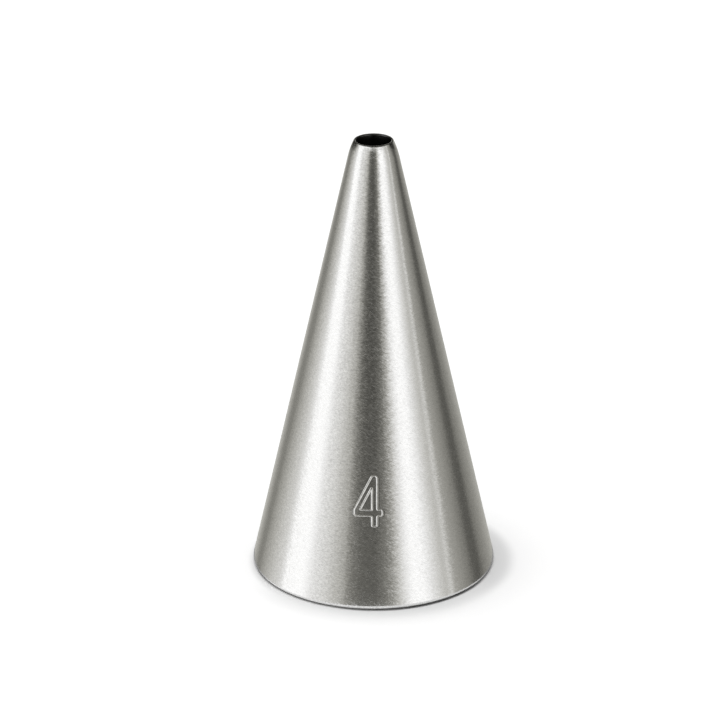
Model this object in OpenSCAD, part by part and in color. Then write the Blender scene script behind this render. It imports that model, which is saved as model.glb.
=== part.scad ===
// Round piping nozzle: a tapered cone rolled from one fan of sheet steel and welded up the back.
// Millimetres. The axis is +Z, the base rests on z = 0, and the numeral faces -Y.

/* [Cone] */
// Height from the base to the crest of the lip
height = 33; // [26:0.5:42]
// Outside diameter at the base
base_d = 18; // [15:0.5:24]
// Thickness of the sheet, square to the side
wall = 0.4; // [0.3:0.05:0.6]

/* [Outlet] */
// Diameter of the round outlet
outlet_d = 2.5; // [1.5:0.1:6]
// Straight length of the outlet, up to the crest of the lip
land_len = 0.4; // [0.3:0.05:0.8]
// Radius of the shoulder that turns the side in to the lip
shoulder_r = 5.8; // [3:0.1:9]

/* [Seam] */
// Width of the weld up the back
seam_w = 0.3; // [0.2:0.05:0.5]
// Height of the weld's root bead above the inside of the sheet
bead_h = 0.06; // [0.04:0.01:0.12]
// Bare length inside the sheet at each end of the root bead
bead_end = 1.2; // [0.8:0.1:3]

/* [Numeral] */
// Height of the hollow numeral, between the middles of its lines
numeral_h = 3.65; // [3:0.05:5]
// Width of the hollow numeral, between the middles of its lines
numeral_w = 2.1; // [1.8:0.05:3]
// Height of the numeral's foot above the base
numeral_z = 6.1; // [2:0.05:12]
// Side shift of the numeral's middle from the front line
numeral_x = -0.4; // [-1.5:0.1:1.5]
// Width of the engraved line
line_w = 0.18; // [0.1:0.01:0.22]
// Depth of the engraved line
line_depth = 0.06; // [0.03:0.01:0.12]

/* [Hidden] */
$fn = 96;

// Radius of the rounded lip and of the base's two edges, as shares of the sheet's thickness
lip_share = 0.25;
edge_share = 0.35;
// Upright limb and nub of the numeral as shares of its width, foot and crossbar as shares of its height
limb_share = 0.18;
nub_share = 0.19;
foot_share = 0.207;
bar_share = 0.118;
// Radii on which the engraved line turns at the figure's top, at its other corners and at
// the triangle's corners, and the least radius of the line's own edges, as shares of its width
top_share = 1.1;
corner_share = 0.65;
tip_share = 0.15;
least_share = 0.05;
// Steps along each rounded edge, shoulder and corner
edge_steps = 4;
lip_steps = 8;
shoulder_steps = 8;
corner_steps = 4;

base_r = base_d / 2;
outlet_r = outlet_d / 2;
lip_r = lip_share * wall;
edge_r = edge_share * wall;
// Overrun of every cut past the faces that it opens
cut_over = wall;

// Half angle of the cone: its outside runs into the base's rounded edge,
// and its inside meets the outlet where the straight land starts
fall = [base_r - edge_r - outlet_r, height - land_len - edge_r];
half_angle = atan2(fall[0], fall[1]) - asin((wall - edge_r) / norm(fall));
// The side's slope, and the outward unit vector square to the side
slope = tan(half_angle);
side_out = [cos(half_angle), sin(half_angle)];
// Radius at which the side's line would reach the base's level
side_base = base_r - edge_r + edge_r * (1 + side_out[1]) / side_out[0];

// Radius of the outer side at a height, drawn in by an inset measured square to the side
function side_at(z, inset = 0) = side_base - slope * z - inset / side_out[0];

// Middles of the arcs in the section: the lip, the shoulder that runs into it, and the base's edges
lip_mid = [outlet_r + lip_r, height - lip_r];
shoulder_reach = shoulder_r - lip_r;
shoulder_gap = side_base * side_out[0] - lip_r - lip_mid * side_out;
shoulder_angle = half_angle + acos(1 - shoulder_gap / shoulder_reach);
shoulder_mid = lip_mid - shoulder_reach * [cos(shoulder_angle), sin(shoulder_angle)];
outer_edge_mid = [side_at(edge_r, edge_r), edge_r];
inner_edge_mid = [side_at(edge_r, wall - edge_r), edge_r];

// Points along an arc
function arc(mid, r, from, to, steps) =
    [for (i = [0 : steps]) let (t = from + (to - from) * i / steps) mid + r * [cos(t), sin(t)]];

// Root bead of the weld: its line in the section, up the inside of the sheet
bead_top = height - land_len - bead_end;
bead_line = [
    [side_at(bead_end, wall), bead_end],
    [side_at(bead_end, wall + bead_h), bead_end],
    [side_at(bead_top, wall + bead_h), bead_top],
    [side_at(bead_top, wall), bead_top]
];

// Section of the wall, from the base's inner edge up the inside and down the outside
function section(inside = []) = concat(
    arc(inner_edge_mid, edge_r, 270, 180 + half_angle, edge_steps),
    inside,
    [[outlet_r, height - land_len]],
    arc(lip_mid, lip_r, 180, shoulder_angle, lip_steps),
    arc(shoulder_mid, shoulder_r, shoulder_angle, half_angle, shoulder_steps),
    arc(outer_edge_mid, edge_r, half_angle, -90, edge_steps)
);

// Middle line of the numeral: the outside of the hollow figure, then the triangle inside it,
// both anticlockwise, each point with the radius on which the line turns there
limb_w = limb_share * numeral_w;
nub_len = nub_share * numeral_w;
bar_low = foot_share * numeral_h;
bar_high = bar_low + bar_share * numeral_h;
left_x = -numeral_w / 2;
nub_x = numeral_w / 2;
stem_right = nub_x - nub_len;
stem_left = stem_right - limb_w;
diagonal = [stem_left - left_x, numeral_h - bar_high];
top_r = top_share * line_w;
corner_r = corner_share * line_w;
tip_r = tip_share * line_w;
figure_line = [
    [stem_left, 0, corner_r], [stem_right, 0, corner_r], [stem_right, bar_low, corner_r],
    [nub_x, bar_low, corner_r], [nub_x, bar_high, corner_r], [stem_right, bar_high, corner_r],
    [stem_right, numeral_h, top_r], [stem_left, numeral_h, top_r], [left_x, bar_high, corner_r],
    [left_x, bar_low, corner_r], [stem_left, bar_low, corner_r]
];
triangle_line = [
    [stem_left, bar_high, tip_r],
    [stem_left, numeral_h - limb_w * norm(diagonal) / diagonal[0], tip_r],
    [left_x + limb_w * norm(diagonal) / diagonal[1], bar_high, tip_r]
];

function flat(p) = [p[0], p[1]];
function unit(v) = v / norm(v);
function crossed(a, b) = a[0] * b[1] - a[1] * b[0];
function heading(points, i) = unit(flat(points[(i + 1) % len(points)]) - flat(points[i % len(points)]));

// The edge of the line's band that lies d outside its middle, with every corner turned on an arc
function band_edge(points, d) = [
    for (i = [0 : len(points) - 1])
        let (
            a = heading(points, i + len(points) - 1),
            b = heading(points, i),
            side = crossed(a, b) > 0 ? 1 : -1,
            out = [a[1] + b[1], -a[0] - b[0]],
            r = max(points[i][2] + side * d, least_share * line_w),
            mid = flat(points[i]) + 2 * (d - side * r) * out / (out * out),
            start = atan2(-side * a[0], side * a[1])
        )
        each arc(mid, r, start, start + atan2(crossed(a, b), a * b), corner_steps)
];

// A band of the line's width round a closed line
module engraved(points) {
    difference() {
        polygon(band_edge(points, line_w / 2));
        polygon(band_edge(points, -line_w / 2));
    }
}

// What the engraving takes away: the figure straight through the front, down to the line's depth
module numeral_cut() {
    difference() {
        translate([numeral_x, 0, numeral_z])
            rotate([90, 0, 0])
                linear_extrude(base_r + cut_over) {
                    engraved(figure_line);
                    engraved(triangle_line);
                }
        cylinder(h = height, r1 = side_at(0, line_depth), r2 = side_at(height, line_depth));
    }
}

// The slit up the back, between the two edges of the rolled sheet
module seam_slab() {
    translate([-seam_w / 2, 0, -cut_over])
        cube([seam_w, base_r + cut_over, height + 2 * cut_over]);
}

module cone_shell() {
    color("silver")
        difference() {
            rotate_extrude() polygon(section());
            seam_slab();
            numeral_cut();
        }
}

module seam_weld() {
    color("gainsboro")
        intersection() {
            rotate_extrude() polygon(section(bead_line));
            seam_slab();
        }
}

cone_shell();
seam_weld();
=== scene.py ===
import math

import bmesh
import bpy
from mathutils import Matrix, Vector
from mathutils.geometry import intersect_point_line


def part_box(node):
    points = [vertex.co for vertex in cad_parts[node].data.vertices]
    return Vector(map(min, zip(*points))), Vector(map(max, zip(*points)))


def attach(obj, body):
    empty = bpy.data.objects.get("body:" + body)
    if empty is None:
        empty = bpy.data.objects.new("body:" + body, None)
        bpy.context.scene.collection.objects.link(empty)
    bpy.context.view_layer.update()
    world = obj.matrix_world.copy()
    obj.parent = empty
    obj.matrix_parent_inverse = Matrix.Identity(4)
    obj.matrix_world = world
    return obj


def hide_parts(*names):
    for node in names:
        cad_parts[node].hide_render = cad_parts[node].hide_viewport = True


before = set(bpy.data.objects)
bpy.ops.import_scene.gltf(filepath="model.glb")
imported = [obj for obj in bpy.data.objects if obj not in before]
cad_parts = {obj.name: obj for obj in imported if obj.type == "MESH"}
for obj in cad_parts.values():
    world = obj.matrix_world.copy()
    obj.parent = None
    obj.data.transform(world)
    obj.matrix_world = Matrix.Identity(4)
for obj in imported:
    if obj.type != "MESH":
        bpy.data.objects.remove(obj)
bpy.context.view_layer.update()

mm = 0.001
mergeWithin = 0.0005 * mm
cutWithin = 0.0002 * mm
sharpFrom = 30               # degrees that an edge turns before it is shaded sharp
scene = bpy.context.scene
print("frame loaded:", sorted(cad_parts))


# small helpers

def polar(radius, degrees):
    return Vector((radius * math.cos(math.radians(degrees)), radius * math.sin(math.radians(degrees))))


def arcPoints(middle, radius, start, end, steps):
    return [middle + polar(radius, start + (end - start) * i / steps) for i in range(steps + 1)]


def smoothStep(t):
    t = min(max(t, 0), 1)
    return t * t * (3 - 2 * t)


def newNode(tree, kind, **settings):
    node = tree.nodes.new(kind)
    for name, value in settings.items():
        setattr(node, name, value)
    return node


def feed(tree, socket, value):
    # links a socket's output, or sets a plain value
    if isinstance(value, bpy.types.NodeSocket):
        tree.links.new(value, socket)
    else:
        socket.default_value = value


def mathNode(tree, operation, *values):
    node = newNode(tree, "ShaderNodeMath", operation=operation)
    for socket, value in zip(node.inputs, values):
        feed(tree, socket, value)
    return node.outputs[0]


def add(tree, a, b):
    return mathNode(tree, "ADD", a, b)


def subtract(tree, a, b):
    return mathNode(tree, "SUBTRACT", a, b)


def multiply(tree, product, *factors):
    for factor in factors:
        product = mathNode(tree, "MULTIPLY", product, factor)
    return product


def clamped(tree, value, low, high):
    return mathNode(tree, "MINIMUM", mathNode(tree, "MAXIMUM", value, low), high)


def vectorNode(tree, operation, *values):
    node = newNode(tree, "ShaderNodeVectorMath", operation=operation)
    for socket, value in zip(node.inputs, values):
        feed(tree, socket, value)
    return node.outputs["Value" if operation == "LENGTH" else "Vector"]


def scaled(tree, vector, factor):
    node = newNode(tree, "ShaderNodeVectorMath", operation="SCALE")
    feed(tree, node.inputs[0], vector)
    feed(tree, node.inputs["Scale"], factor)
    return node.outputs["Vector"]


def splitVector(tree, vector):
    node = newNode(tree, "ShaderNodeSeparateXYZ")
    feed(tree, node.inputs[0], vector)
    return node.outputs["X"], node.outputs["Y"], node.outputs["Z"]


def azimuthNode(tree, x, y):
    # the angle round the axis from the front, growing to the right
    return mathNode(tree, "ARCTAN2", x, multiply(tree, y, -1.0))


def rangeNode(tree, value, fromLow, fromHigh, toLow=0.0, toHigh=1.0):
    node = newNode(tree, "ShaderNodeMapRange", interpolation_type="SMOOTHSTEP", clamp=True)
    for socket, item in zip(node.inputs, (value, fromLow, fromHigh, toLow, toHigh)):
        feed(tree, socket, item)
    return node.outputs[0]


def degreeRange(tree, angle, start, end, toLow=0.0, toHigh=1.0):
    return rangeNode(tree, angle, math.radians(start), math.radians(end), toLow, toHigh)


def blendNode(tree, factor, a, b, kind="FLOAT"):
    node = newNode(tree, "ShaderNodeMix", data_type=kind)
    sockets = {"FLOAT": (0, 2, 3), "RGBA": (0, 6, 7)}[kind]
    for index, value in zip(sockets, (factor, a, b)):
        feed(tree, node.inputs[index], value)
    return node.outputs[{"FLOAT": 0, "RGBA": 2}[kind]]


def blendColor(tree, factor, a, b):
    return blendNode(tree, factor, a, b, "RGBA")


def noiseNode(tree, place, scale, detail, roughness, distortion):
    node = newNode(tree, "ShaderNodeTexNoise", noise_dimensions="3D")
    feed(tree, node.inputs["Vector"], place)
    named = {"Scale": scale, "Detail": detail, "Roughness": roughness, "Distortion": distortion}
    for name, value in named.items():
        feed(tree, node.inputs[name], value)
    return node.outputs["Fac"]


# the wall's section, in millimetres: radius across, height up

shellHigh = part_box("cone_shell")[1]
nozzle = {
    "height": round(shellHigh.z / mm, 2),
    "baseRadius": 9.0,
    "wall": 0.4,
    "outletRadius": 1.25,
    "landLength": 0.4,       # straight stretch up to the lip's crest
    "shoulderRadius": 5.8,
    "lipRadius": 0.1,
    "edgeRadius": 0.14,      # edges of the base that the side is worked out from
    "outerEdgeRadius": 0.27, "innerEdgeRadius": 0.08,        # the edges as they are seen
    "seamHalf": 0.15,        # half the weld's width
    "insideShare": 0.7,      # depth in the wall, as a share of it, from which the inside's roughness and painted shade apply
    "arcSteps": 10,
}

sideSpan = Vector((nozzle["baseRadius"] - nozzle["edgeRadius"] - nozzle["outletRadius"],
                   nozzle["height"] - nozzle["landLength"] - nozzle["edgeRadius"]))
halfAngle = math.degrees(math.atan2(sideSpan.x, sideSpan.y)
                         - math.asin((nozzle["wall"] - nozzle["edgeRadius"]) / sideSpan.length))
sideOut = polar(1, halfAngle)  # square to the side, outwards
sideSlope = sideOut.y / sideOut.x
sideBase = nozzle["baseRadius"] + nozzle["edgeRadius"] * ((1 + sideOut.y) / sideOut.x - 1)


def sideAt(z, inset=0.0):
    return Vector((sideBase - sideSlope * z - inset / sideOut.x, z))


def wallSection():
    # round the wall from under the outer edge, over the lip and down the inside
    lip, shoulder = nozzle["lipRadius"], nozzle["shoulderRadius"]
    outerEdge, edge = nozzle["outerEdgeRadius"], nozzle["innerEdgeRadius"]
    steps = nozzle["arcSteps"]
    lipMiddle = Vector((nozzle["outletRadius"] + lip, nozzle["height"] - lip))
    reach = shoulder - lip
    gap = sideBase * sideOut.x - lip - lipMiddle.dot(sideOut)
    shoulderAngle = halfAngle + math.degrees(math.acos(1 - gap / reach))
    shoulderMiddle = lipMiddle - polar(reach, shoulderAngle)
    return {
        "outerEdge": arcPoints(sideAt(outerEdge, outerEdge), outerEdge, -90, halfAngle, steps),
        "shoulder": arcPoints(shoulderMiddle, shoulder, halfAngle, shoulderAngle, 2 * steps),
        "lip": arcPoints(lipMiddle, lip, shoulderAngle, 180, steps)[1:],
        "land": [Vector((nozzle["outletRadius"], nozzle["height"] - nozzle["landLength"]))],
        "innerEdge": arcPoints(sideAt(edge, nozzle["wall"] - edge), edge, 180 + halfAngle, 270, steps),
    }


def addSection(bm, points, azimuth):
    # a closed loop of edges in the plane at that azimuth, measured round from the front
    turn = math.radians(azimuth)
    verts = []
    for p in points:
        verts.append(bm.verts.new((p.x * mm * math.sin(turn), -p.x * mm * math.cos(turn), p.y * mm)))
    return [bm.edges.new((a, b)) for a, b in zip(verts, verts[1:] + verts[:1])]


def spinSections(bm, sectors):
    # turns the section through each sector (degrees, steps) in turn, and closes a full turn
    geom = bm.verts[:] + bm.edges[:]
    for degrees, steps in sectors:
        geom = bmesh.ops.spin(bm, geom=geom, cent=(0, 0, 0), axis=(0, 0, 1), dvec=(0, 0, 0),
                              angle=math.radians(degrees), steps=steps, use_merge=False)["geom_last"]
    bmesh.ops.remove_doubles(bm, verts=bm.verts, dist=mergeWithin)


def cutAtSeam(bm):
    # lengthwise cuts through the back of the wall, along both edges of the weld
    for x in (-nozzle["seamHalf"] * mm, nozzle["seamHalf"] * mm):
        back = [f for f in bm.faces if f.calc_center_median().y > 0]
        geom = back + list({e for f in back for e in f.edges}) + list({v for f in back for v in f.verts})
        bmesh.ops.bisect_plane(bm, geom=geom, plane_co=(x, 0, 0), plane_no=(1, 0, 0), dist=cutWithin)


def dropFaces(bm, faces):
    # deletes faces and closes the two openings that they leave
    bmesh.ops.delete(bm, geom=faces, context="FACES")
    bmesh.ops.holes_fill(bm, edges=[e for e in bm.edges if e.is_boundary], sides=0)
    bmesh.ops.recalc_face_normals(bm, faces=bm.faces)


def hoopMap(bm):
    # a map whose U runs round the nozzle and V up it, for the brushing, and a mark on the inside
    layer = bm.loops.layers.uv.new("hoopMap")
    inside = bm.verts.layers.float.new("inside")
    depth = nozzle["wall"] * nozzle["insideShare"]
    for v in bm.verts:
        v[inside] = math.hypot(v.co.x, v.co.y) < sideAt(v.co.z / mm, depth).x * mm
    for face in bm.faces:
        for loop in face.loops:
            p = loop.vert.co
            loop[layer].uv = (math.atan2(p.x, -p.y) / math.tau + 0.5, p.z / (nozzle["height"] * mm))


def finishPiece(bm, name, replaced, material):
    for e in bm.edges:
        e.smooth = e.is_manifold and e.calc_face_angle(0) < math.radians(sharpFrom)
    for f in bm.faces:
        f.smooth = True
    mesh = bpy.data.meshes.new(name)
    bm.to_mesh(mesh)
    bm.free()
    piece = bpy.data.objects.new(name, mesh)
    scene.collection.objects.link(piece)
    mesh.materials.append(material)
    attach(piece, "root")
    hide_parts(replaced)
    print(name, "has", len(mesh.polygons), "faces")


# shared effects, as node groups

def newGroup(name, inputs, outputs):
    tree = bpy.data.node_groups.new(name, "ShaderNodeTree")
    for label, value in inputs.items():
        socket = tree.interface.new_socket(label, in_out="INPUT", socket_type="NodeSocketFloat")
        socket.default_value = value
    for label, kind in outputs.items():
        tree.interface.new_socket(label, in_out="OUTPUT", socket_type="NodeSocket" + kind)
    return tree, newNode(tree, "NodeGroupInput").outputs, newNode(tree, "NodeGroupOutput").inputs


def useGroup(tree, group, values):
    node = newNode(tree, "ShaderNodeGroup", node_tree=group)
    for name, value in values.items():
        feed(tree, node.inputs[name], value)
    return node.outputs


def makeStrokeGroup():
    # a noise drawn out round the axis and slanted: features per metre round it and up it
    inputs = {"Round": 2000.0, "Up": 9000.0, "Slant": 0.0, "Shift": 0.0}
    tree, given, out = newGroup("strokeField", inputs, {"Value": "Float"})
    x, y, z = splitVector(tree, newNode(tree, "ShaderNodeTexCoord").outputs["Object"])
    azimuth = azimuthNode(tree, x, y)
    radius = mathNode(tree, "SQRT", add(tree, multiply(tree, x, x), multiply(tree, y, y)))
    lift = multiply(tree, azimuth, radius, given["Slant"])
    rise = multiply(tree, add(tree, z, lift), given["Up"])
    join = newNode(tree, "ShaderNodeCombineXYZ")
    feed(tree, join.inputs["X"], multiply(tree, x, given["Round"]))
    feed(tree, join.inputs["Y"], multiply(tree, y, given["Round"]))
    feed(tree, join.inputs["Z"], add(tree, rise, given["Shift"]))
    noise = noiseNode(tree, join.outputs[0], scale=1.0, detail=1.5, roughness=0.5, distortion=0.5)
    feed(tree, out["Value"], noise)
    return tree


def makeSwayGroup():
    # a normal that two fields turn a little sideways and up or down
    inputs = {"Side Field": 0.5, "Rise Field": 0.5, "Sway": 0.2, "Nod": 0.2}
    tree, given, out = newGroup("strokeSway", inputs, {"Normal": "Vector"})
    normal = newNode(tree, "ShaderNodeNewGeometry").outputs["Normal"]
    up = (0.0, 0.0, 1.0)
    along = vectorNode(tree, "NORMALIZE", vectorNode(tree, "CROSS_PRODUCT", up, normal))
    result = normal
    for field, amount, direction in (("Side Field", "Sway", along), ("Rise Field", "Nod", up)):
        push = multiply(tree, subtract(tree, given[field], 0.5), given[amount])
        result = vectorNode(tree, "ADD", result, scaled(tree, direction, push))
    feed(tree, out["Normal"], vectorNode(tree, "NORMALIZE", result))
    return tree


strokeGroup = makeStrokeGroup()
swayGroup = makeSwayGroup()


# materials

# the brushing's fields: features per metre round the nozzle and up it, their slant, and a shift that
# makes each field its own
brushing = {
    "grain": {"Round": 6000.0, "Up": 10000.0, "Slant": 0.0, "Shift": 0.0},
    "speck": {"Round": 4400.0, "Up": 10500.0, "Slant": 0.4, "Shift": 80.0},
    "rising": {"Round": 3200.0, "Up": 11500.0, "Slant": 0.5, "Shift": 20.0},
    "falling": {"Round": 3200.0, "Up": 11500.0, "Slant": -0.4, "Shift": 40.0},
    "level": {"Round": 3000.0, "Up": 11000.0, "Slant": 0.06, "Shift": 140.0},
    "nod": {"Round": 4500.0, "Up": 9000.0, "Slant": 0.1, "Shift": 60.0},
    "wear": {"Round": 3500.0, "Up": 3500.0, "Slant": 0.0, "Shift": 100.0},
}
steelFinish = {
    "color": (0.705, 0.703, 0.70),
    "anisotropy": 0.5, "strokeTurn": 0.25,   # a quarter turn, to draw the highlights out up and down
    "roughness": 0.09, "speckRoughness": 0.245, "speckFrom": 0.42, "speckTo": 0.68,
    "strokeRoughness": 0.42, "strokeShare": 0.34, "strokeFrom": 0.5, "strokeTo": 0.72,
    "grain": 0.13, "strongGrain": 0.36,      # how far the fine grain lightens and darkens the metal
    "strongMiddle": -12, "strongFrom": 15, "strongTo": 22,   # degrees: strong in front, round this azimuth
    "strongSideFrom": 48, "strongSideTo": 56, "strongSide": 0.7,             # and, less so, at both sides
    "sway": 0.06, "frontSway": 0.08, "nod": 0.07,            # how far the brushing turns the normal
    "frontFrom": 20.4, "frontTo": 34,        # degrees to each side over which the front's sway fades
    "levelFrom": 7, "levelTo": 14,           # degrees to the left over which the strokes turn level
    "engravedColor": (0.86, 0.858, 0.85), "engravedWear": 0.8, "wearFrom": 0.35, "wearTo": 0.62,
    "engravedRoughness": 0.16,
    "levelRoughness": 0.24, "paintedLevelLight": 1.15,               # the engraved line's level stretches: rougher, and lightened as painted light
    "rimShade": 0.45,                        # painted shade beside the engraved line
    "scratchRoughness": 0.36,
    "insideRoughness": 0.3, "insideShade": 0.18,             # the dull inside, its colour darkened as painted shade
}
weldFinish = dict(steelFinish, color=(0.66, 0.655, 0.64), roughness=0.17, speckRoughness=0.4,
                  grain=0.2, nod=0.16)
vertexMarks = ("engraved", "engravedRimShade", "engravedLevel", "scratched", "inside")
black = (0.0, 0.0, 0.0, 1.0)
white = (1.0, 1.0, 1.0, 1.0)


def shade(color, factor=1.0):
    return tuple(c * factor for c in color) + (1.0,)


def fieldNode(tree, name):
    return useGroup(tree, strokeGroup, brushing[name])["Value"]


def steelTone(tree, finish, azimuth, marks):
    # the grain, paler in the engraved line, with painted light on its level stretches, painted shade beside
    # it, and darkened inside as painted shade
    fromMiddle = mathNode(tree, "ABSOLUTE", subtract(tree, azimuth, math.radians(finish["strongMiddle"])))
    inFront = degreeRange(tree, fromMiddle, finish["strongFrom"], finish["strongTo"], 1.0, 0.0)
    turned = mathNode(tree, "ABSOLUTE", azimuth)
    atSides = degreeRange(tree, turned, finish["strongSideFrom"], finish["strongSideTo"],
                          0.0, finish["strongSide"])
    strong = mathNode(tree, "MAXIMUM", inFront, atSides)
    contrast = blendNode(tree, strong, finish["grain"], finish["strongGrain"])
    swing = multiply(tree, subtract(tree, fieldNode(tree, "grain"), 0.5), contrast, 2.0)
    tone = scaled(tree, finish["color"], add(tree, 1.0, swing))

    wear = rangeNode(tree, fieldNode(tree, "wear"), finish["wearFrom"], finish["wearTo"])
    dull = shade(finish["engravedColor"], finish["engravedWear"])
    line = blendColor(tree, wear, dull, shade(finish["engravedColor"]))
    # painted light: the line's level stretches are lightened
    line = scaled(tree, line, blendNode(tree, marks["engravedLevel"], 1.0, finish["paintedLevelLight"]))
    tone = blendColor(tree, marks["engraved"], tone, line)
    # painted shade beside the engraved line
    tone = blendColor(tree, multiply(tree, marks["engravedRimShade"], finish["rimShade"]), tone, black)
    # painted shade: the inside's colour is darkened
    return blendColor(tree, marks["inside"], tone, shade(finish["color"], finish["insideShade"]))


def steelRoughness(tree, finish, strokes, marks):
    rough = rangeNode(tree, fieldNode(tree, "speck"), finish["speckFrom"], finish["speckTo"],
                      finish["roughness"], finish["speckRoughness"])
    rough = blendNode(tree, multiply(tree, strokes, finish["strokeShare"]), rough, finish["strokeRoughness"])
    line = blendNode(tree, marks["engravedLevel"], finish["engravedRoughness"], finish["levelRoughness"])
    rough = blendNode(tree, marks["engraved"], rough, line)
    rough = blendNode(tree, marks["scratched"], rough, finish["scratchRoughness"])
    return blendNode(tree, marks["inside"], rough, finish["insideRoughness"])


def steelNormal(tree, finish, azimuth, leaning, marks):
    # the strokes lean both ways in front and at the right, and run level at the left
    plain = subtract(tree, 1.0, marks["engraved"])
    turned = mathNode(tree, "ABSOLUTE", azimuth)
    inFront = degreeRange(tree, turned, finish["frontFrom"], finish["frontTo"], 1.0, 0.0)
    atLeft = degreeRange(tree, multiply(tree, azimuth, -1.0), finish["levelFrom"], finish["levelTo"])
    crossing = add(tree, 0.5, subtract(tree, *leaning))
    return useGroup(tree, swayGroup, {
        "Side Field": blendNode(tree, atLeft, crossing, fieldNode(tree, "level")),
        "Rise Field": fieldNode(tree, "nod"),
        "Sway": multiply(tree, blendNode(tree, inFront, finish["sway"], finish["frontSway"]), plain),
        "Nod": multiply(tree, plain, finish["nod"])})["Normal"]


def brushedSteel(name, finish):
    material = bpy.data.materials.new(name)
    material.use_nodes = True
    tree = material.node_tree
    shader = tree.nodes["Principled BSDF"].inputs
    shader["Metallic"].default_value = 1.0
    shader["Anisotropic"].default_value = finish["anisotropy"]
    shader["Anisotropic Rotation"].default_value = finish["strokeTurn"]
    tangent = newNode(tree, "ShaderNodeTangent", direction_type="UV_MAP", uv_map="hoopMap")
    feed(tree, shader["Tangent"], tangent.outputs[0])

    marks = {}
    for label in vertexMarks:
        marks[label] = newNode(tree, "ShaderNodeAttribute", attribute_name=label).outputs["Fac"]
    x, y = splitVector(tree, newNode(tree, "ShaderNodeTexCoord").outputs["Object"])[:2]
    azimuth = azimuthNode(tree, x, y)
    leaning = (fieldNode(tree, "rising"), fieldNode(tree, "falling"))
    strokes = rangeNode(tree, mathNode(tree, "MAXIMUM", *leaning), finish["strokeFrom"], finish["strokeTo"])
    feed(tree, shader["Base Color"], steelTone(tree, finish, azimuth, marks))
    feed(tree, shader["Roughness"], steelRoughness(tree, finish, strokes, marks))
    feed(tree, shader["Normal"], steelNormal(tree, finish, azimuth, leaning, marks))
    return material


steel = brushedSteel("brushedSteel", steelFinish)
groundWeld = brushedSteel("groundWeld", weldFinish)
print("materials made")


# the cone shell

shell = {
    "fineFrom": 5.94,        # heights between which the rows are close, for the numeral
    "fineTo": 9.9,
    "fineCuts": 150,
    "lowCuts": 8,
    "sideCuts": 14,
    "frontFrom": -14.2,      # azimuths between which the columns are close
    "frontTo": 7.0,
    "frontSteps": 110,
    "roundSteps": 112,
}

# the numeral from its foot's middle, in millimetres, with the radii on which its line turns,
# and the ends of a few fine scratches beside it
numeral = {
    "x": -0.4, "foot": 6.1, "height": 3.65, "width": 2.1,
    "limb": 0.378, "nub": 0.399, "barLow": 0.756, "barHigh": 1.187,
    "topTurn": 0.198, "turn": 0.117, "tipTurn": 0.027, "turnSteps": 5,
    "line": 0.18, "depth": 0.032,
    "core": 0.04,            # half the width over which the line has its full finish
    "rim": 0.055,            # reach of the painted shade beside it
    "flatDepth": 0.64,       # depth of the level stretches, as a share of the rest
    "levelRim": 0.6,         # how far the painted shade beside a level stretch is eased
    "lean": 0.3,             # how much steeper the line's left wall is than its right
    "scratchHalf": 0.035, "scratchDepth": 0.002,
    "scratches": [
        ((0.05, 0.22), (-0.32, -0.08)),
        ((0.9, 0.25), (1.12, 0.02)),
        ((1.13, 2.6), (1.25, 2.48)),
        ((1.0, 2.1), (1.12, 1.95)),
    ],
}


def turnedLoop(points):
    # a closed anticlockwise line with each corner turned on its radius
    loop = []
    for i, (x, z, radius) in enumerate(points):
        p = Vector((x, z))
        a = (p - Vector(points[i - 1][:2])).normalized()
        b = (Vector(points[(i + 1) % len(points)][:2]) - p).normalized()
        side = 1 if a.cross(b) > 0 else -1
        out = Vector((a.y + b.y, -a.x - b.x))
        middle = p - 2 * side * radius * out / out.dot(out)
        start = math.degrees(math.atan2(-side * a.x, side * a.y))
        turn = math.degrees(math.atan2(a.cross(b), a.dot(b)))
        loop += arcPoints(middle, radius, start, start + turn, numeral["turnSteps"])
    return loop


def numeralLoops():
    # middle lines of the hollow figure and of the triangle in it
    turn, top, tip = numeral["turn"], numeral["topTurn"], numeral["tipTurn"]
    left, right, high = -numeral["width"] / 2, numeral["width"] / 2, numeral["height"]
    stemRight = right - numeral["nub"]
    stemLeft = stemRight - numeral["limb"]
    barLow, barHigh = numeral["barLow"], numeral["barHigh"]
    diagonal = Vector((stemLeft - left, high - barHigh))
    figure = [
        (stemLeft, 0, turn), (stemRight, 0, turn), (stemRight, barLow, turn), (right, barLow, turn),
        (right, barHigh, turn), (stemRight, barHigh, turn), (stemRight, high, top), (stemLeft, high, top),
        (left, barHigh, turn), (left, barLow, turn), (stemLeft, barLow, turn),
    ]
    triangle = [
        (stemLeft, barHigh, tip),
        (stemLeft, high - numeral["limb"] * diagonal.length / diagonal.x, tip),
        (left + numeral["limb"] * diagonal.length / diagonal.y, barHigh, tip),
    ]
    return [turnedLoop(figure), turnedLoop(triangle)]


def nearest(p, segments):
    # the point of each segment that is nearest to p, and how level the segment is, from 0 to 1
    for a, b in segments:
        near, share = intersect_point_line(p, a, b)
        yield a if share < 0 else b if share > 1 else near, (b - a).normalized().x ** 2


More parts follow.
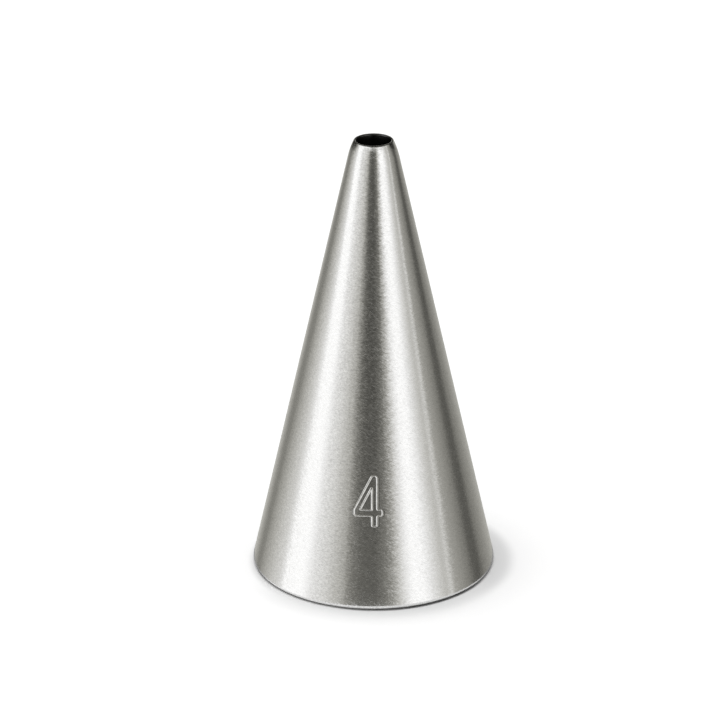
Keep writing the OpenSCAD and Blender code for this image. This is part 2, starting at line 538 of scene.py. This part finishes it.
def engraveNumeral(bm):
    # sinks the vertices under the line, and marks them for the material
    layers = bm.verts.layers.float
    engraved, engravedRimShade = layers.new("engraved"), layers.new("engravedRimShade")
    engravedLevel, scratched = layers.new("engravedLevel"), layers.new("scratched")
    segments = []
    for loop in numeralLoops():
        segments += [(a.to_3d(), b.to_3d()) for a, b in zip(loop, loop[1:] + loop[:1])]
    scratches = [(Vector(a + (0,)), Vector(b + (0,))) for a, b in numeral["scratches"]]
    half = numeral["line"] / 2
    margin = half + numeral["rim"]
    for v in bm.verts:
        p = Vector((v.co.x / mm - numeral["x"], v.co.z / mm - numeral["foot"], 0))
        aside = abs(p.x) > numeral["width"] / 2 + 2 * margin
        if aside or not -margin < p.y < numeral["height"] + margin or v.co.y > 0:
            continue
        if math.hypot(v.co.x, v.co.y) < sideAt(v.co.z / mm, nozzle["wall"] / 2).x * mm:
            continue
        away, level = margin, 0
        for near, flat in nearest(p, segments):
            gap = p - near
            away, level = min((away, level), (gap.length - numeral["lean"] * gap.x, flat))
        scratch = min((p - near).length for near, flat in nearest(p, scratches))
        sunk = 1 - smoothStep(away / half)
        v[engraved] = 1 - smoothStep((away - numeral["core"]) / (half - numeral["core"]))
        # painted shade beside the line, eased on its level stretches
        eased = 1 - numeral["levelRim"] * level
        v[engravedRimShade] = (1 - smoothStep(abs(away - half) / numeral["rim"])) * eased
        v[engravedLevel] = level
        v[scratched] = (1 - smoothStep(scratch / numeral["scratchHalf"])) * (1 - v[engraved])
        depth = sunk * numeral["depth"] * (1 - level * (1 - numeral["flatDepth"]))
        depth += v[scratched] * numeral["scratchDepth"]
        if depth > 0:
            out = Vector((v.co.x, v.co.y, 0)).normalized() * sideOut.x + Vector((0, 0, sideOut.y))
            v.co -= out * depth * mm


def makeShell():
    bm = bmesh.new()
    part = wallSection()
    points = part["outerEdge"] + [sideAt(shell["fineFrom"]), sideAt(shell["fineTo"])] + part["shoulder"]
    points += part["lip"] + part["land"] + part["innerEdge"]
    edges = addSection(bm, points, shell["frontFrom"])
    low = len(part["outerEdge"]) - 1
    inside = len(points) - len(part["innerEdge"]) - 1
    cuts = {low: shell["lowCuts"], low + 1: shell["fineCuts"],
            low + 2: shell["sideCuts"], inside: shell["sideCuts"]}
    for index, count in cuts.items():
        bmesh.ops.subdivide_edges(bm, edges=[edges[index]], cuts=count)
    front = shell["frontTo"] - shell["frontFrom"]
    spinSections(bm, [(front, shell["frontSteps"]), (360 - front, shell["roundSteps"])])
    cutAtSeam(bm)
    half = nozzle["seamHalf"] * mm
    middles = [(f, f.calc_center_median()) for f in bm.faces]
    dropFaces(bm, [f for f, middle in middles if middle.y > 0 and abs(middle.x) < half])
    engraveNumeral(bm)
    hoopMap(bm)
    finishPiece(bm, "coneShell", "cone_shell", steel)


makeShell()


# the weld up the back

weld = {
    "bead": 0.06,            # height of the root bead inside
    "beadEnd": 1.2,          # bare length at each end of it
    "sideCuts": 60,
    "sector": 8.0,           # degrees to each side that are turned before the weld is cut out
    "steps": 16,
}


def makeWeld():
    bm = bmesh.new()
    part = wallSection()
    wall, beadLow = nozzle["wall"], weld["beadEnd"]
    beadTop = nozzle["height"] - nozzle["landLength"] - weld["beadEnd"]
    bead = [sideAt(beadTop, wall), sideAt(beadTop, wall + weld["bead"]),
            sideAt(beadLow, wall + weld["bead"]), sideAt(beadLow, wall)]
    points = part["outerEdge"] + part["shoulder"] + part["lip"] + part["land"] + bead + part["innerEdge"]
    edges = addSection(bm, points, 180 - weld["sector"])
    bmesh.ops.subdivide_edges(bm, edges=[edges[len(part["outerEdge"]) - 1]], cuts=weld["sideCuts"])
    spinSections(bm, [(2 * weld["sector"], weld["steps"])])
    cutAtSeam(bm)
    half = nozzle["seamHalf"] * mm
    dropFaces(bm, [f for f in bm.faces if abs(f.calc_center_median().x) > half])
    hoopMap(bm)
    finishPiece(bm, "seamWeld", "seam_weld", groundWeld)


makeWeld()


# the floor, in metres and in degrees from the front

floorPlan = {
    "half": 3.0, "color": 0.98, "drop": 0.00005,
    "mirroredFront": 0.0110, "mirroredSide": 0.0094,         # how far out the steel mirrors it
    "mirroredFrom": 10, "mirroredTo": 55,
    "mirroredShade": 0.6,                                    # painted shade on the floor at the sides, as the steel mirrors it
    "shadeFrom": 55, "shadeTo": 77,
    "contacts": [                                            # painted soft shadows close to the foot, and their shares
        {"middle": (-0.0002, -0.0005, 0.0), "from": 0.0082, "to": 0.0113,
         "shade": 0.16, "front": 1.0, "sides": 0.2},
        {"middle": (0.0007, -0.0002, 0.0), "from": 0.0090, "to": 0.0102,
         "shade": 0.21, "front": 0.3, "sides": 1.0},
        {"middle": (-0.0003, -0.0005, 0.0), "from": 0.0085, "to": 0.0092,
         "shade": 0.17, "front": 0.0, "sides": 1.0},
    ],
    "frontTo": 40, "sidesFrom": 70,                          # where those shares hold
    "gapFrom": 0.0089, "gapTo": 0.00912,                     # painted shadow: the dark line under the foot
    "gapShade": 0.35, "gapLean": 110.0, "gapMost": 0.67,     # how the painted shadow deepens to the right
    "gapFade": 50, "gapEnd": 75,
}


def contactShades(tree, place, turned):
    # painted shadows in the floor's colour close to the foot
    tone = floorPlan["color"]
    for contact in floorPlan["contacts"]:
        fromFoot = vectorNode(tree, "LENGTH", vectorNode(tree, "SUBTRACT", place, contact["middle"]))
        dark = rangeNode(tree, fromFoot, contact["from"], contact["to"], contact["shade"], 0.0)
        share = degreeRange(tree, turned, floorPlan["frontTo"], floorPlan["sidesFrom"],
                            contact["front"], contact["sides"])
        tone = multiply(tree, tone, subtract(tree, 1.0, multiply(tree, dark, share)))
    return tone


def gapShade(tree, x, fromAxis, turned):
    # a painted shadow along the foot, deeper to the right
    deep = add(tree, floorPlan["gapShade"], multiply(tree, x, floorPlan["gapLean"]))
    deep = clamped(tree, deep, 0.0, floorPlan["gapMost"])
    under = rangeNode(tree, fromAxis, floorPlan["gapFrom"], floorPlan["gapTo"], 1.0, 0.0)
    inFront = degreeRange(tree, turned, floorPlan["gapFade"], floorPlan["gapEnd"], 1.0, 0.0)
    return multiply(tree, deep, under, inFront)


def paleFloor():
    material = bpy.data.materials.new("paleFloor")
    material.use_nodes = True
    tree = material.node_tree
    tree.nodes.remove(tree.nodes["Principled BSDF"])
    place = newNode(tree, "ShaderNodeTexCoord").outputs["Object"]
    glossy = newNode(tree, "ShaderNodeLightPath").outputs["Is Glossy Ray"]
    x, y = splitVector(tree, place)[:2]
    turned = mathNode(tree, "ABSOLUTE", azimuthNode(tree, x, y))
    fromAxis = vectorNode(tree, "LENGTH", place)
    # the camera sees the painted shadows; the steel mirrors the floor without them, with painted shade at the
    # sides
    seen = contactShades(tree, place, turned)
    seen = multiply(tree, seen, subtract(tree, 1.0, gapShade(tree, x, fromAxis, turned)))
    mirrored = degreeRange(tree, turned, floorPlan["shadeFrom"], floorPlan["shadeTo"], floorPlan["color"],
                           floorPlan["color"] * (1 - floorPlan["mirroredShade"]))
    pale = newNode(tree, "ShaderNodeBsdfDiffuse")
    feed(tree, pale.inputs["Color"], blendNode(tree, glossy, seen, mirrored))
    clear = newNode(tree, "ShaderNodeBsdfTransparent")

    # beyond its reach the steel mirrors the studio through the floor
    reach = degreeRange(tree, turned, floorPlan["mirroredFrom"], floorPlan["mirroredTo"],
                        floorPlan["mirroredFront"], floorPlan["mirroredSide"])
    mix = newNode(tree, "ShaderNodeMixShader")
    feed(tree, mix.inputs[0], multiply(tree, mathNode(tree, "GREATER_THAN", fromAxis, reach), glossy))
    feed(tree, mix.inputs[1], pale.outputs[0])
    feed(tree, mix.inputs[2], clear.outputs[0])
    feed(tree, tree.nodes["Material Output"].inputs["Surface"], mix.outputs[0])
    return material


def makeFloor():
    bm = bmesh.new()
    bmesh.ops.create_grid(bm, x_segments=1, y_segments=1, size=floorPlan["half"])
    bmesh.ops.translate(bm, verts=bm.verts, vec=(0, 0, -floorPlan["drop"]))
    mesh = bpy.data.meshes.new("floor")
    bm.to_mesh(mesh)
    bm.free()
    floor = bpy.data.objects.new("floor", mesh)
    scene.collection.objects.link(floor)
    mesh.materials.append(paleFloor())


# soft panels round the nozzle: azimuths from the camera, right positive, and the brightness at each edge
panels = [
    ("backdrop left", -180, -160, 0.68, 0.54),
    ("left gap", -141, -129, 0.29, 0.275),
    ("left curtain", -113, -89.5, 0.545, 0.96),
    ("left soft box", -84, -65, 1.42, 1.40),
    ("left wall", -57, -44, 1.06, 0.87),
    ("left of the camera", -28, -20, 0.46, 0.145),
    ("camera", -11, 1, 0.064, 0.050),
    ("right of the camera", 10.5, 15.5, 0.14, 0.21),
    ("right soft box's edge", 24.5, 34, 0.83, 1.36),
    ("right soft box", 46, 58, 1.38, 0.96),
    ("bright strip", 70, 75, 0.62, 0.87),
    ("strip's far edge", 77, 81, 0.85, 0.46),
    ("right curtain", 89, 103, 0.40, 0.24),
    ("right flag", 108, 118, 0.135, 0.12),
    ("right gap", 126, 152, 0.255, 0.43),
    ("backdrop right", 170, 180, 0.51, 0.68),
]
brightest = 2.0              # the panels' level at the ramp's full white

# the curve on which the cone's middle mirrors the studio: its Z is high * cos(azimuth / turn) - drop,
# and the panels narrow with the rise over it, from least to most
mirrorLine = {"turn": 1.92, "high": 0.3966, "drop": 0.3512, "least": -0.06, "most": 0.035}

# angles in degrees: azimuths are turns from the camera to either side, where no side is named
studio = {
    "squeeze": 0.9, "squeezeLeft": 1.3,      # how fast the panels narrow upwards, in front and to the left
    "leftFrom": 40, "leftTo": 95, "leftFade": 128, "leftEnd": 150, "rightFade": 60, "rightEnd": 80,
    "cameraSqueeze": 5.0, "cameraLight": 1.9,                # how fast the camera's dark shape narrows, fades
    "cameraLeast": -0.015, "cameraFade": 25, "cameraEnd": 50,
    "roomShade": 0.9, "roomHalf": 1.9, "roomFrom": 88, "roomTo": 108,        # the dark room over the table
    "roomEdge": 4.0, "roomEdgeAt": 116, "roomFall": 0.375,   # its lower edge falls towards the back
    "roomRightFrom": 122, "roomRightTo": 148, "roomLeftFrom": 150, "roomLeftTo": 166,
    "overhead": 1.25, "overheadFrom": 26, "overheadTo": 30,  # the soft overhead's level and elevations
    "ceiling": 0.06, "ceilingHalf": 3.5,     # the dark ceiling over it, lower behind
    "ceilingFront": 33.5, "ceilingBehind": 10, "behindFrom": 0.0, "behindTo": 0.8,
    "overheadLean": 4, "ceilingLean": -4,    # how far their edges rise to the right
    "below": 0.8, "belowBehind": 0.4, "belowFrom": 30, "belowTo": 44,        # the table, as mirrored
    "belowSide": 95, "belowBack": 140,
    "darkTint": (1.02, 1.0, 0.90), "lightTint": (1.0, 1.0, 0.995), "tintFrom": 0.1, "tintTo": 1.3,
    "dome": 0.444,                           # the even level that lights the floor
}
windowLight = {"strength": 2.12, "angle": 50, "direction": (-0.12, 0.05, 1.0)}


def studioRange(tree, angle, start, end, toLow=0.0, toHigh=1.0):
    return degreeRange(tree, angle, studio[start], studio[end], toLow, toHigh)


def panelRamp(tree, azimuth):
    ramp = newNode(tree, "ShaderNodeValToRGB")
    feed(tree, ramp.inputs[0], add(tree, mathNode(tree, "DIVIDE", azimuth, math.tau), 0.5))
    stops = [stop for name, start, end, first, last in panels for stop in ((start, first), (end, last))]
    elements = ramp.color_ramp.elements
    while len(elements) < len(stops):
        elements.new(0.5)
    for element, (degrees, level) in zip(elements, stops):
        element.position = degrees / 360 + 0.5
        element.color = shade((level / brightest,) * 3)
    return multiply(tree, ramp.outputs[0], brightest)


def panelRing(tree, azimuth, z):
    # the panels' level all the way round, where they narrow upwards
    curve = mathNode(tree, "COSINE", mathNode(tree, "DIVIDE", azimuth, mirrorLine["turn"]))
    curve = subtract(tree, multiply(tree, curve, mirrorLine["high"]), mirrorLine["drop"])
    rise = clamped(tree, subtract(tree, z, curve), mirrorLine["least"], mirrorLine["most"])
    turned = mathNode(tree, "ABSOLUTE", azimuth)
    leftwards = multiply(tree, azimuth, -1.0)
    inFront = studioRange(tree, turned, "cameraFade", "cameraEnd", 1.0, 0.0)
    squeeze = studioRange(tree, leftwards, "leftFrom", "leftTo", studio["squeeze"], studio["squeezeLeft"])
    squeeze = multiply(tree, squeeze, studioRange(tree, leftwards, "leftFade", "leftEnd", 1.0, 0.0),
                       studioRange(tree, azimuth, "rightFade", "rightEnd", 1.0, 0.0))
    cameraRise = mathNode(tree, "MAXIMUM", rise, studio["cameraLeast"])
    cameraRise = multiply(tree, cameraRise, studio["cameraSqueeze"], inFront)
    narrowing = add(tree, multiply(tree, rise, squeeze), cameraRise)
    ring = panelRamp(tree, multiply(tree, azimuth, add(tree, 1.0, narrowing)))
    faded = multiply(tree, mathNode(tree, "ABSOLUTE", rise), studio["cameraLight"], inFront)
    return add(tree, ring, faded)


def roomShade(tree, azimuth, height):
    # the dark room at both sides, over an edge that falls towards the back
    turned = mathNode(tree, "ABSOLUTE", azimuth)
    leftwards = multiply(tree, azimuth, -1.0)
    edge = multiply(tree, subtract(tree, turned, math.radians(studio["roomEdgeAt"])), -studio["roomFall"])
    edge = add(tree, edge, math.radians(studio["roomEdge"]))
    over = degreeRange(tree, subtract(tree, height, edge), -studio["roomHalf"], studio["roomHalf"])
    return multiply(tree, over, studioRange(tree, turned, "roomFrom", "roomTo"),
                    studioRange(tree, azimuth, "roomRightFrom", "roomRightTo", 1.0, 0.0),
                    studioRange(tree, leftwards, "roomLeftFrom", "roomLeftTo", 1.0, 0.0), studio["roomShade"])


def withOverhead(tree, level, x, y, height):
    # the soft overhead, and the dark ceiling over it
    lean = multiply(tree, x, math.radians(studio["overheadLean"]))
    soft = studioRange(tree, subtract(tree, height, lean), "overheadFrom", "overheadTo")
    level = blendNode(tree, soft, level, studio["overhead"])
    edge = rangeNode(tree, y, studio["behindFrom"], studio["behindTo"],
                     math.radians(studio["ceilingFront"]), math.radians(studio["ceilingBehind"]))
    edge = add(tree, edge, multiply(tree, x, math.radians(studio["ceilingLean"])))
    dark = degreeRange(tree, subtract(tree, height, edge), -studio["ceilingHalf"], studio["ceilingHalf"])
    return blendNode(tree, dark, level, studio["ceiling"])


def withTable(tree, level, azimuth, height):
    # the pale table below, darker behind
    down = studioRange(tree, multiply(tree, height, -1.0), "belowFrom", "belowTo")
    turned = mathNode(tree, "ABSOLUTE", azimuth)
    table = studioRange(tree, turned, "belowSide", "belowBack", studio["below"], studio["belowBehind"])
    return blendNode(tree, down, level, table)


def makeWorld():
    world = bpy.data.worlds.new("studio")
    world.use_nodes = True
    scene.world = world
    tree = world.node_tree
    x, y, z = splitVector(tree, newNode(tree, "ShaderNodeTexCoord").outputs["Generated"])
    azimuth = azimuthNode(tree, x, y)
    height = mathNode(tree, "ARCSINE", z)
    level = panelRing(tree, azimuth, z)
    level = multiply(tree, level, subtract(tree, 1.0, roomShade(tree, azimuth, height)))
    level = withOverhead(tree, level, x, y, height)
    level = withTable(tree, level, azimuth, height)
    warmth = rangeNode(tree, level, studio["tintFrom"], studio["tintTo"])
    tint = blendColor(tree, warmth, shade(studio["darkTint"]), shade(studio["lightTint"]))

    # the camera sees plain white, the floor is lit by an even dome, and only the steel mirrors the panels
    path = newNode(tree, "ShaderNodeLightPath").outputs
    plain = mathNode(tree, "MAXIMUM", path["Is Camera Ray"], path["Is Diffuse Ray"])
    level = blendNode(tree, path["Is Diffuse Ray"], level, studio["dome"])
    background = tree.nodes["Background"].inputs
    feed(tree, background["Color"], blendColor(tree, plain, tint, white))
    feed(tree, background["Strength"], blendNode(tree, path["Is Camera Ray"], level, 1.0))


def makeWindowLight():
    data = bpy.data.lights.new("windowLight", "SUN")
    data.energy = windowLight["strength"]
    data.angle = math.radians(windowLight["angle"])
    lamp = bpy.data.objects.new("windowLight", data)
    lamp.rotation_euler = Vector(windowLight["direction"]).to_track_quat("Z", "Y").to_euler()
    lamp.visible_glossy = False
    scene.collection.objects.link(lamp)


# the camera stands 262 mm from the nozzle's middle and looks 23 degrees down; the middle's place and
# the focal length are in pixels of the square picture
shot = {
    "distance": 0.26239, "down": 22.804, "picture": 720, "middleX": 373.57, "middleY": 352.86,
    "focalLength": 3589.0, "sensor": 36, "nearest": 0.01,
}


def makeCamera():
    data = bpy.data.cameras.new("camera")
    data.sensor_width = shot["sensor"]
    data.lens = shot["focalLength"] / shot["picture"] * shot["sensor"]
    half = shot["picture"] / 2
    data.shift_x = (half - shot["middleX"]) / shot["picture"]
    data.shift_y = (shot["middleY"] - half) / shot["picture"]
    data.clip_start = shot["nearest"]
    camera = bpy.data.objects.new("camera", data)
    down = math.radians(shot["down"])
    back = Vector((0, -math.cos(down), math.sin(down)))
    camera.location = Vector((0, 0, nozzle["height"] * mm / 2)) + back * shot["distance"]
    camera.rotation_euler = back.to_track_quat("Z", "Y").to_euler()
    scene.collection.objects.link(camera)
    scene.camera = camera


makeFloor()
makeWorld()
makeWindowLight()
makeCamera()
scene.view_settings.view_transform = "Standard"
print("stage set")
